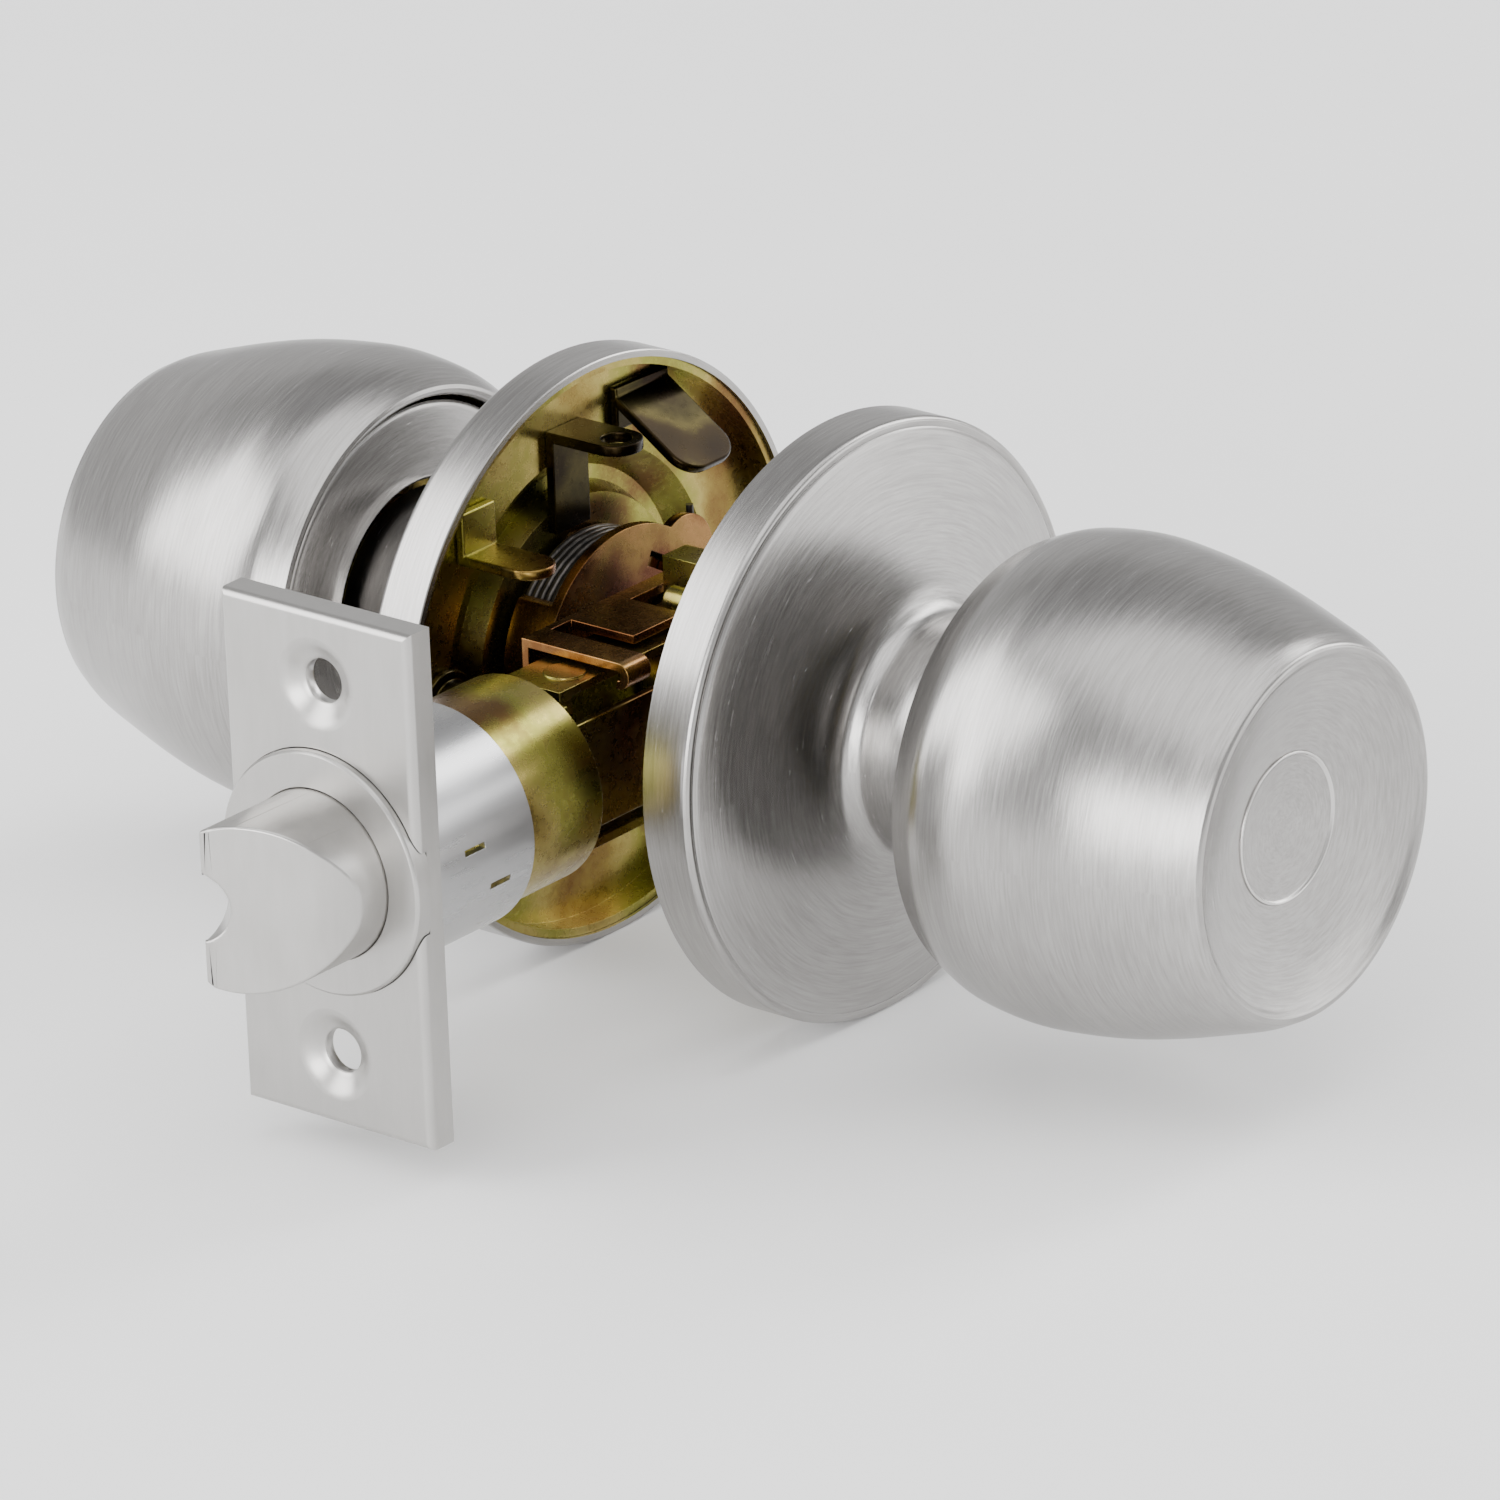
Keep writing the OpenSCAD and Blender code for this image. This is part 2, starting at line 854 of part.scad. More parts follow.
front_knob();
front_face_disc();
front_knob_cap();
front_insert();
front_hub();
front_driver();
front_clip();
front_rose();
front_liner();
front_spring();
front_saddle();
front_stop();
rear_knob();
rear_face_disc();
rear_knob_cap();
rear_insert();
rear_hub();
rear_driver();
rear_clip();
rear_rose();
rear_liner();
rear_spring();
rear_saddle();
rear_stop();
rear_post_left();
rear_post_right();
rear_bracket();
rear_tab();
spindle();
faceplate();
backplate();
flange_ring();
barrel();
sleeve();
spring_seat();
frame_front();
frame_rear();
frame_cover();
bolt();
bolt_tail();
bolt_spring();
cam();
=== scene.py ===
"""Passage door knob set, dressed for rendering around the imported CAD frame.

Knob axis = Y (front knob towards -Y), latch points to -X, Z up. Metres throughout.
Spun parts are lathed again from named stations, pressed and turned parts keep their
CAD shape with softened edges, and every surface gets a procedural metal.
"""
import json
import math

import bmesh
import bpy
from mathutils import Matrix, Vector


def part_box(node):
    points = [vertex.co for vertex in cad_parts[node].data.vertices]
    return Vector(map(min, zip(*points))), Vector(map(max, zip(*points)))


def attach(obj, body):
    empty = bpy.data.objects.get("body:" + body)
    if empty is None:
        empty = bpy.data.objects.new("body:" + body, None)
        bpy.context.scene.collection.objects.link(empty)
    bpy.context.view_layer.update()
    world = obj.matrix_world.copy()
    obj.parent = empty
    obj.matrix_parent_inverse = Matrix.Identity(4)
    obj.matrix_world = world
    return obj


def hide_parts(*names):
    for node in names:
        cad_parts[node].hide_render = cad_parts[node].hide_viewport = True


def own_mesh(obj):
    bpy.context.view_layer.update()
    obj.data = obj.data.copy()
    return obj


MM = 0.001

# Stations of the spun parts that two pieces share, in mm.
FACE_R = 19.6        # radius of the dished face
DISH = 4.1           # depth of the dish
DISC_R = 8.2         # radius of the face disc
HIGHLIGHT_RING_R = 7.96 * MM   # radius of the painted highlight ring on the disc's bead, in metres
HIGHLIGHT_RING_HALF = 0.24 * MM

# Brushing lines per metre across the grain, and per radian along it.
FINE_LINES, FINE_BREAKS = 3900.0, 5.5
BROAD_LINES, BROAD_BREAKS = 420.0, 1.1

ALONG_LATCH = Matrix.Rotation(math.radians(90), 4, "Y")
FACE_LATCH = Matrix.Rotation(math.radians(-90), 4, "Z")

# Camera: seen from the front left, slightly above, through a long lens.
CAM_AZIMUTH = -50.27
CAM_ELEVATION = 21.80
CAM_ROLL = -2.13
CAM_DISTANCE = 1.1657
CAM_SIDE = 0.00294
CAM_RISE = -0.00762
CAM_LENS = 260.7

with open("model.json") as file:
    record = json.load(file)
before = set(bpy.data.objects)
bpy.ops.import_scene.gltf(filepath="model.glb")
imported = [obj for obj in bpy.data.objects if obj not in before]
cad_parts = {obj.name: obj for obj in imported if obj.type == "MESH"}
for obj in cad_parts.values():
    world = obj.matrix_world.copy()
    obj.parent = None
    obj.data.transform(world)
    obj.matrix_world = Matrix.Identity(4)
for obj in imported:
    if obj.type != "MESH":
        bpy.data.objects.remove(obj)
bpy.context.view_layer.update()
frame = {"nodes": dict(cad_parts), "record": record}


# ---------------------------------------------------------------- node helpers

def new_material(name):
    """An empty node material with its Principled shader and output joined."""
    mat = bpy.data.materials.new(name)
    mat.use_nodes = True
    nodes = mat.node_tree.nodes
    nodes.clear()
    out = nodes.new("ShaderNodeOutputMaterial")
    shader = nodes.new("ShaderNodeBsdfPrincipled")
    mat.node_tree.links.new(shader.outputs[0], out.inputs[0])
    return mat, nodes, mat.node_tree.links, shader


def math_node(nodes, links, kind, a, b=None):
    node = nodes.new("ShaderNodeMath")
    node.operation = kind
    for socket, value in zip(node.inputs, (a, b)):
        if value is None:
            continue
        if isinstance(value, (int, float)):
            socket.default_value = value
        else:
            links.new(value, socket)
    return node.outputs[0]


def combine(nodes, links, x, y, z):
    node = nodes.new("ShaderNodeCombineXYZ")
    for socket, value in zip(node.inputs, (x, y, z)):
        if isinstance(value, (int, float)):
            socket.default_value = value
        else:
            links.new(value, socket)
    return node.outputs[0]


def noise(nodes, links, vector, scale, detail=3.0, rough=0.5):
    node = nodes.new("ShaderNodeTexNoise")
    node.inputs["Scale"].default_value = scale
    node.inputs["Detail"].default_value = detail
    node.inputs["Roughness"].default_value = rough
    links.new(vector, node.inputs["Vector"])
    return node.outputs["Fac"]


def ramp(nodes, links, fac, stops):
    node = nodes.new("ShaderNodeValToRGB")
    band = node.color_ramp
    while len(band.elements) < len(stops):
        band.elements.new(0.5)
    for element, (pos, colour) in zip(band.elements, stops):
        element.position = pos
        element.color = (*colour, 1.0)
    links.new(fac, node.inputs[0])
    return node.outputs["Color"]


def span(nodes, links, fac, low, high):
    """Maps 0..1 to low..high."""
    node = nodes.new("ShaderNodeMapRange")
    node.inputs["To Min"].default_value = low
    node.inputs["To Max"].default_value = high
    links.new(fac, node.inputs["Value"])
    return node.outputs[0]


def bump(nodes, links, height, strength, distance):
    node = nodes.new("ShaderNodeBump")
    node.inputs["Strength"].default_value = strength
    node.inputs["Distance"].default_value = distance
    links.new(height, node.inputs["Height"])
    return node.outputs[0]


def axis_coords(nodes, links):
    """Object position as (radius from the Y axis, height along Y, turn about Y)."""
    coord = nodes.new("ShaderNodeTexCoord")
    split = nodes.new("ShaderNodeSeparateXYZ")
    links.new(coord.outputs["Object"], split.inputs[0])
    x, y, z = split.outputs
    square = math_node(nodes, links, "ADD", math_node(nodes, links, "MULTIPLY", x, x),
                       math_node(nodes, links, "MULTIPLY", z, z))
    radius = math_node(nodes, links, "SQRT", square)
    turn = math_node(nodes, links, "ARCTAN2", z, x)
    return radius, y, turn


# ---------------------------------------------------------------- materials

def painted_highlight_ring(nodes, links, tone, radius, bead, light):
    """Painted highlight: lightens the base colour in a narrow ring at radius bead, along the
    disc's raised bead.
    """
    away = math_node(nodes, links, "ABSOLUTE",
                     math_node(nodes, links, "SUBTRACT", radius, bead))
    near = math_node(nodes, links, "LESS_THAN", away, HIGHLIGHT_RING_HALF)
    mix = nodes.new("ShaderNodeMix")
    mix.data_type = "RGBA"
    links.new(near, mix.inputs["Factor"])
    links.new(tone, mix.inputs["A"])
    mix.inputs["B"].default_value = (*(1.45 * c for c in light), 1.0)
    return mix.outputs["Result"]


def brushed_round(name, light, dark, rough, aniso, bead=0.0):
    """Satin steel brushed round the knob axis: fine closed lines with broken ends."""
    mat, nodes, links, shader = new_material(name)
    radius, along, turn = axis_coords(nodes, links)

    def rings(lines, breaks):
        return combine(nodes, links, math_node(nodes, links, "MULTIPLY", radius, lines),
                       math_node(nodes, links, "MULTIPLY", along, lines),
                       math_node(nodes, links, "MULTIPLY", turn, breaks))

    fine = noise(nodes, links, rings(FINE_LINES, FINE_BREAKS), 1.0, 4.0, 0.6)
    cloud = noise(nodes, links, rings(BROAD_LINES, BROAD_BREAKS), 1.0, 2.0, 0.5)
    mixed = math_node(nodes, links, "ADD", math_node(nodes, links, "MULTIPLY", fine, 0.8),
                      math_node(nodes, links, "MULTIPLY", cloud, 0.2))
    tone = ramp(nodes, links, mixed, [(0.36, dark), (0.64, light)])
    # With bead set, a painted highlight: the base colour is lightened in a thin ring at that
    # radius.
    if bead:
        tone = painted_highlight_ring(nodes, links, tone, radius, bead, light)
    links.new(tone, shader.inputs["Base Color"])
    links.new(span(nodes, links, mixed, rough - 0.05, rough + 0.06), shader.inputs["Roughness"])
    links.new(bump(nodes, links, fine, 0.13, 0.00005), shader.inputs["Normal"])
    shader.inputs["Metallic"].default_value = 1.0
    shader.inputs["Anisotropic"].default_value = aniso
    tangent = nodes.new("ShaderNodeTangent")
    tangent.direction_type = "RADIAL"
    tangent.axis = "Y"
    links.new(tangent.outputs[0], shader.inputs["Tangent"])
    return mat


def plain_satin(name, light, dark, rough, grain, stretch):
    """Fine satin plate with a faint directional grain."""
    mat, nodes, links, shader = new_material(name)
    coord = nodes.new("ShaderNodeTexCoord")
    mapping = nodes.new("ShaderNodeMapping")
    mapping.inputs["Scale"].default_value = stretch
    links.new(coord.outputs["Object"], mapping.inputs["Vector"])
    fine = noise(nodes, links, mapping.outputs[0], grain, 4.0, 0.6)
    cloud = noise(nodes, links, coord.outputs["Object"], 90.0, 2.0, 0.5)
    mixed = math_node(nodes, links, "ADD", math_node(nodes, links, "MULTIPLY", fine, 0.5),
                      math_node(nodes, links, "MULTIPLY", cloud, 0.5))
    links.new(ramp(nodes, links, mixed, [(0.25, dark), (0.75, light)]),
              shader.inputs["Base Color"])
    links.new(span(nodes, links, mixed, rough - 0.05, rough + 0.07), shader.inputs["Roughness"])
    links.new(bump(nodes, links, fine, 0.08, 0.00005), shader.inputs["Normal"])
    shader.inputs["Metallic"].default_value = 1.0
    return mat


def yellow_zinc(name, hues, low, high):
    """Iridescent yellow chromate: gold drifting to olive, brown and a trace of violet."""
    mat, nodes, links, shader = new_material(name)
    coord = nodes.new("ShaderNodeTexCoord")
    drift = noise(nodes, links, coord.outputs["Object"], 60.0, 2.0, 0.5)
    fine = noise(nodes, links, coord.outputs["Object"], 900.0, 4.0, 0.6)
    mixed = math_node(nodes, links, "ADD", math_node(nodes, links, "MULTIPLY", drift, 0.9),
                      math_node(nodes, links, "MULTIPLY", fine, 0.1))
    stops = list(zip((0.34, 0.44, 0.50, 0.57, 0.66), hues))
    links.new(ramp(nodes, links, mixed, stops), shader.inputs["Base Color"])
    links.new(span(nodes, links, fine, low, high), shader.inputs["Roughness"])
    links.new(bump(nodes, links, fine, 0.06, 0.00004), shader.inputs["Normal"])
    shader.inputs["Metallic"].default_value = 1.0
    return mat


def dark_spring(name):
    mat, nodes, links, shader = new_material(name)
    coord = nodes.new("ShaderNodeTexCoord")
    fine = noise(nodes, links, coord.outputs["Object"], 600.0, 4.0, 0.6)
    links.new(ramp(nodes, links, fine, [(0.3, (0.035, 0.032, 0.03)), (0.7, (0.11, 0.10, 0.09))]),
              shader.inputs["Base Color"])
    links.new(span(nodes, links, fine, 0.25, 0.45), shader.inputs["Roughness"])
    shader.inputs["Metallic"].default_value = 0.9
    return mat


def floor_material():
    mat, nodes, links, shader = new_material("floor_pale")
    coord = nodes.new("ShaderNodeTexCoord")
    grain = noise(nodes, links, coord.outputs["Object"], 40.0, 2.0, 0.5)
    links.new(ramp(nodes, links, grain, [(0.3, (0.955, 0.955, 0.955)), (0.7, (0.97, 0.97, 0.97))]),
              shader.inputs["Base Color"])
    shader.inputs["Roughness"].default_value = 0.8
    return mat


GOLD = [(0.12, 0.052, 0.018), (0.23, 0.16, 0.042), (0.35, 0.28, 0.085), (0.25, 0.235, 0.048),
        (0.135, 0.075, 0.024)]
# Near-black hues of the yellow zinc: painted shade and painted dark reflection, not a colour of
# the plating.
PAINTED_SHADE_HUES = [(0.008, 0.005, 0.003), (0.018, 0.012, 0.005), (0.045, 0.036, 0.012),
         (0.025, 0.020, 0.007), (0.012, 0.007, 0.004)]
COPPER = [(0.07, 0.025, 0.010), (0.16, 0.07, 0.025), (0.28, 0.15, 0.055),
          (0.20, 0.12, 0.035), (0.10, 0.035, 0.015)]
MATERIALS = {
    "satin_steel": brushed_round("satin_steel", (0.42, 0.41, 0.40), (0.325, 0.315, 0.305), 0.25,
                                 0.80),
    "satin_nickel": plain_satin("satin_nickel", (0.50, 0.49, 0.475), (0.42, 0.41, 0.395), 0.32,
                                700.0, (1.0, 1.0, 0.2)),
    "bright_zinc": plain_satin("bright_zinc", (0.50, 0.50, 0.505), (0.42, 0.42, 0.425), 0.27,
                               900.0, (0.2, 1.0, 1.0)),
    "yellow_zinc": yellow_zinc("yellow_zinc", GOLD, 0.20, 0.36),
    "spring_steel": dark_spring("spring_steel"),
}
# Painted-shade copy of the yellow zinc: near black, standing for shade and the dark reflections
# inside the mechanism.
SHADED = yellow_zinc("yellow_zinc_painted_shade", PAINTED_SHADE_HUES, 0.20, 0.32)
BROWNED = yellow_zinc("yellow_zinc_copper", COPPER, 0.20, 0.34)
# Same brushed steel with a painted highlight ring in its colour along the face disc's bead.
HIGHLIGHT_RING_STEEL = brushed_round("satin_steel_painted_highlight", (0.42, 0.41, 0.40), (0.325, 0.315, 0.305), 0.25,
                       0.80, HIGHLIGHT_RING_R)
# Finishes of their own: the tab, bracket and posts take the near-black painted-shade zinc, and the
# face discs take steel with a painted highlight ring.
OWN_FINISH = {
    "front_saddle": BROWNED, "rear_saddle": BROWNED, "frame_cover": BROWNED,
    "rear_tab": SHADED, "rear_bracket": SHADED,
    "rear_post_left": SHADED, "rear_post_right": SHADED,
    "front_face_disc": HIGHLIGHT_RING_STEEL, "rear_face_disc": HIGHLIGHT_RING_STEEL,
}
SLOT_OF = {p["node"]: p["material_slot"] for p in frame["record"]["subparts"]}
BODY_OF = {n: body for body, nodes in frame["record"]["behaviour"]["bodies"].items()
           for n in nodes}


# ---------------------------------------------------------------- mesh helpers

def add_piece(name, mesh, nodes, sharp_deg=32.0):
    """Puts a finished mesh in the scene for these CAD nodes: slot, material, body."""
    mesh.shade_smooth()
    mesh.set_sharp_from_angle(angle=math.radians(sharp_deg))
    obj = bpy.data.objects.new(name, mesh)
    bpy.context.scene.collection.objects.link(obj)
    obj.data.materials.append(OWN_FINISH.get(nodes[0], MATERIALS[SLOT_OF[nodes[0]]]))
    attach(obj, BODY_OF[nodes[0]])
    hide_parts(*nodes)
    return obj


def lathe(profile, side, turns=224, closed=True):
    """Revolves (radius, distance from the middle) points, in mm, about Y on one side."""
    mesh = bpy.data.meshes.new("lathe")
    bm = bmesh.new()
    rings = []
    for r, d in profile:
        if r < 1e-6:
            rings.append([bm.verts.new((0.0, side * d * MM, 0.0))])
            continue
        ring = []
        for k in range(turns):
            a = 2 * math.pi * k / turns
            ring.append(bm.verts.new((r * MM * math.cos(a), side * d * MM, r * MM * math.sin(a))))
        rings.append(ring)
    pairs = list(zip(rings, rings[1:] + rings[:1])) if closed else list(zip(rings, rings[1:]))
    for a, b in pairs:
        for k in range(turns):
            m = (k + 1) % turns
            if len(a) == 1 and len(b) == 1:
                break
            if len(a) == 1:
                bm.faces.new((a[0], b[k], b[m]))
            elif len(b) == 1:
                bm.faces.new((a[k], a[m], b[0]))
            else:
                bm.faces.new((a[k], a[m], b[m], b[k]))
    bmesh.ops.recalc_face_normals(bm, faces=bm.faces)
    bm.to_mesh(mesh)
    bm.free()
    return mesh


def smooth(points, steps):
    """Catmull-Rom curve through the stations."""
    out = []
    last = len(points) - 1
    for i in range(last):
        a, b = points[max(i - 1, 0)], points[i]
        c, d = points[i + 1], points[min(i + 2, last)]
        for k in range(steps):
            t = k / steps
            out.append(tuple(
                0.5 * (2 * b[j] + (c[j] - a[j]) * t
                       + (2 * a[j] - 5 * b[j] + 4 * c[j] - d[j]) * t * t
                       + (3 * b[j] - a[j] - 3 * c[j] + d[j]) * t ** 3) for j in (0, 1)))
    out.append(tuple(points[-1]))
    return out


def arc(cx, cy, r, start, end, steps):
    return [(cx + r * math.cos(math.radians(start + (end - start) * k / steps)),
             cy + r * math.sin(math.radians(start + (end - start) * k / steps)))
            for k in range(steps + 1)]


def settle(obj):
    """Keeps flat faces flat-looking beside their rounded edges."""
    step = obj.modifiers.new("settle", "WEIGHTED_NORMAL")
    step.keep_sharp = True
    step.weight = 80


def round_ends(bm, thick, radius):
    """Rounds the corners of a thin plate's free end, the one nearest the middle of the door."""
    tip = min(abs(v.co.y) for v in bm.verts)
    edges = [e for e in bm.edges if abs(e.calc_length() - thick * MM) < 0.4 * MM
             and all(abs(v.co.y) < tip + 1.5 * thick * MM for v in e.verts)
             and abs(e.verts[0].co.x - e.verts[1].co.x) < 0.1 * MM]
    bmesh.ops.bevel(bm, geom=edges, offset=radius * MM, segments=8, profile=0.5,
                    affect="EDGES", clamp_overlap=True)


def softened(node, width, segments=2, angle=34.0):
    """The CAD node's own shape with small rounded edges."""
    source = frame["nodes"][node]
    mesh = source.data.copy()
    bm = bmesh.new()
    bm.from_mesh(mesh)
    bmesh.ops.remove_doubles(bm, verts=bm.verts, dist=1e-6)
    bmesh.ops.dissolve_limit(bm, angle_limit=math.radians(0.5), verts=bm.verts, edges=bm.edges)
    if node == "rear_tab":
        round_ends(bm, 1.0, 3.0)
    edges = [e for e in bm.edges if len(e.link_faces) == 2
             and e.calc_face_angle(0.0) > math.radians(angle)]
    bmesh.ops.bevel(bm, geom=edges, offset=width * MM, segments=segments, profile=0.5,
                    affect="EDGES", clamp_overlap=True)
    bm.to_mesh(mesh)
    bm.free()
    mesh.materials.clear()
    obj = add_piece("soft_" + node, mesh, [node], 34.0)
    settle(obj)


def shape(mesh):
    """A bare object that holds a mesh for cutting."""
    obj = bpy.data.objects.new("shape", mesh)
    bpy.context.scene.collection.objects.link(obj)
    return obj


def cut(base, tool, kind):
    """The mesh left by a boolean between two bare objects, which are used up."""
    step = base.modifiers.new("cut", "BOOLEAN")
    step.operation = kind
    step.solver = "EXACT"
    step.object = tool
    depsgraph = bpy.context.evaluated_depsgraph_get()
    mesh = bpy.data.meshes.new_from_object(base.evaluated_get(depsgraph))
    bpy.data.objects.remove(base)
    bpy.data.objects.remove(tool)
    return mesh


def rod(radius, low, high, turns, place):
    """Cylinder mesh from low to high along its local Z, in mm, then moved by place."""
    mesh = bpy.data.meshes.new("rod")
    bm = bmesh.new()
    bmesh.ops.create_cone(bm, cap_ends=True, segments=turns, radius1=radius * MM,
                          radius2=radius * MM, depth=(high - low) * MM,
                          matrix=place @ Matrix.Translation((0, 0, (low + high) / 2 * MM)))
    bm.to_mesh(mesh)
    bm.free()
    return mesh


def prism(points, half_height):
    """Outline in the XY plane, in mm, extruded both ways along Z."""
    mesh = bpy.data.meshes.new("prism")
    bm = bmesh.new()
    low = [bm.verts.new((x * MM, y * MM, -half_height * MM)) for x, y in points]
    high = [bm.verts.new((x * MM, y * MM, half_height * MM)) for x, y in points]
    bm.faces.new(low)
    bm.faces.new(high)
    for k in range(len(points)):
        m = (k + 1) % len(points)
        bm.faces.new((low[k], low[m], high[m], high[k]))
    bmesh.ops.recalc_face_normals(bm, faces=bm.faces)
    bm.to_mesh(mesh)
    bm.free()
    return mesh


# ---------------------------------------------------------------- spun pieces

def half_gap():
    """Distance of a rose's back plane from the middle of the door, in mm."""
    return -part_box("front_rose")[1][1] / MM


def reach(node):
    """Nearest and farthest distance of a node from the middle of the door, and its radius."""
    low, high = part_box(node)
    ends = sorted((abs(low[1]), abs(high[1])))
    return ends[0] / MM, ends[1] / MM, (high[0] - low[0]) / 2 / MM


def bowl(face, r):
    """Distance of the dished face from the middle of the door, at radius r."""
    return face - 0.2 - DISH + DISH * (r / FACE_R) ** 2


def build_knob(side, prefix):
    """Knob shell, from the stations of the CAD profile, with finer rounding."""
    back, face, big = reach(prefix + "_knob")
    hole = 8.23
    outer = smooth([(24.1, back + 0.15), (25.1, back + 2.2), (26.0, back + 5), (big, back + 10),
                    (big - 0.35, back + 15), (big - 1.1, back + 20), (big - 2.3, back + 25),
                    (big - 3.8, back + 30), (big - 5.1, back + 34), (20.3, face - 0.5)], 12)
    rim = arc(FACE_R, face - 0.75, 0.75, 20, 105, 10)
    top = [(r, bowl(face, r)) for r in
           [FACE_R - 0.3 - (FACE_R - 0.3 - hole) * k / 24 for k in range(1, 25)]]
    under = [(r, bowl(face, r) - 1) for r in
             [FACE_R - 1.2 - (FACE_R - 1.2 - hole) * k / 10 for k in range(10, 0, -1)]]
    inner = [(r - 1, d) for r, d in reversed(outer[1:]) if d > back + 3.2]
    edge = [(23.1, back + 3), (22.85, back + 2.2), (22.8, back + 1.4), (22.85, back + 0.8),
            (23.05, back + 0.35), (23.35, back + 0.08), (23.7, back)]
    mesh = lathe(outer + rim + top + under + inner + edge, side)
    add_piece(prefix + "_knob_shell", mesh, [prefix + "_knob"])


def build_face_disc(side, prefix):
    """Disc in the middle of the dish, with a raised bead round its edge."""
    face = reach(prefix + "_knob")[1]
    bead = bowl(face, DISC_R)
    profile = [(0, bowl(face, 0) - 1.2), (DISC_R + 0.9, bead - 1.9),
               (DISC_R + 0.9, bead - 1.03), (DISC_R, bead - 1.03), (DISC_R, bead + 0.10),
               (DISC_R - 0.05, bead + 0.17), (DISC_R - 0.14, bead + 0.2),
               (DISC_R - 0.24, bead + 0.18), (DISC_R - 0.34, bead + 0.08),
               (DISC_R - 0.45, bead - 0.05)]
    profile += [(r, bowl(face, r)) for r in [(DISC_R - 0.6) * k / 12 for k in range(12, 0, -1)]]
    profile += [(0, bowl(face, 0))]
    add_piece(prefix + "_disc", lathe(profile, side, closed=False), [prefix + "_face_disc"], 50.0)


def build_cap(side, prefix):
    """Ring that closes the back of the knob, with a rolled edge round the neck."""
    near = reach(prefix + "_knob_cap")[0]
    hole = 13.7
    profile = [(22.17, near + 1.35), (22.17, near + 3.8), (21.4, near + 3.8),
               (21.4, near + 2.2), (hole + 0.9, near + 1.1), (hole + 0.9, near + 2.8),
               (hole, near + 2.8)]
    profile += arc(hole + 0.6, near + 0.6, 0.6, 180, 270, 8)
    profile += smooth([(hole + 2, near + 0.02), (18, near + 0.35), (21.2, near + 0.85),
                       (21.9, near + 1.05)], 6)
    add_piece(prefix + "_cap", lathe(profile, side), [prefix + "_knob_cap"])


def dimpled(mesh, side, big, along):
    """Release hole in an oval dimple: at +X on the front rose and at -X on the rear one."""
    turned = -side * big
    dent = bpy.data.meshes.new("dent")
    bm = bmesh.new()
    bmesh.ops.create_uvsphere(bm, u_segments=48, v_segments=24, radius=MM)
    for v in bm.verts:
        v.co = Vector((turned * MM * 1.006 + v.co.x * 0.55, side * along * MM + v.co.y * 0.75,
                       v.co.z * 2.1 - 0.3 * MM))
    bm.to_mesh(dent)
    bm.free()
    mesh = cut(shape(mesh), shape(dent), "DIFFERENCE")
    hole = rod(0.45, -2, 2, 32, Matrix.Translation((turned * MM, side * along * MM, -1.3 * MM))
               @ Matrix.Rotation(math.radians(90), 4, "Y"))
    return cut(shape(mesh), shape(hole), "DIFFERENCE")


def build_rose(side, prefix):
    """Rose cover: rim, bead, shallow cone, concave fillet, neck, release hole."""
    back, end, big = reach(prefix + "_rose")
    rim, neck, sheet = back + 6.0, 13.0, 0.8
    r2, y2 = neck + 2.2, back + 6.0 + 4.6
    outer = [(big - 0.12, back), (big, back + 0.12), (big, rim - 0.9)]
    outer += arc(big - 0.7, rim - 0.7, 0.7, 10, 80, 6)
    outer += [(big - 0.95, rim - 0.04), (big - 1.1, rim - 0.08), (big - 1.3, rim + 0.08)]
    outer += smooth([(big - 1.6, rim + 0.2), (big - 7, rim + 1.72), (r2 + 3, rim + 3.9),
                     (r2, y2 + 0.15), (neck + 0.7, y2 + 1.1), (neck, y2 + 2.4),
                     (neck, y2 + 4)], 10)
    outer += [(neck, end - 0.3), (neck - 0.2, end)]
    inner = [(neck - sheet, end)]
    inner += smooth([(neck - sheet, y2 + 4), (neck - sheet, y2 + 2.2), (neck - 0.1, y2 + 0.5),
                     (r2 - 0.3, y2 - 0.7), (r2 + 3, rim + 3.0)], 6)
    inner += [(big - 1.6, rim - 0.8), (big - sheet, rim - 1.2), (big - sheet, back)]
    mesh = dimpled(lathe(outer + inner, side), side, big, back + 2.8)
    add_piece(prefix + "_rose_cover", mesh, [prefix + "_rose"], 40.0)


# Width of the rounded edges, in mm, on the nodes that keep their CAD shape.
SOFT = {
    0.2: ("backplate", "frame_front", "frame_rear", "front_liner", "rear_liner", "front_hub",
          "rear_hub", "front_driver", "rear_driver", "front_insert", "rear_insert"),
    0.1: ("barrel", "sleeve"),
    0.12: ("frame_cover",),
    0.25: ("bolt_tail", "cam", "spindle"),
    0.3: ("rear_bracket", "rear_tab", "rear_stop", "front_stop", "rear_saddle",
          "front_saddle", "rear_post_left", "rear_post_right"),
    0.15: ("spring_seat", "front_clip", "rear_clip"),
}


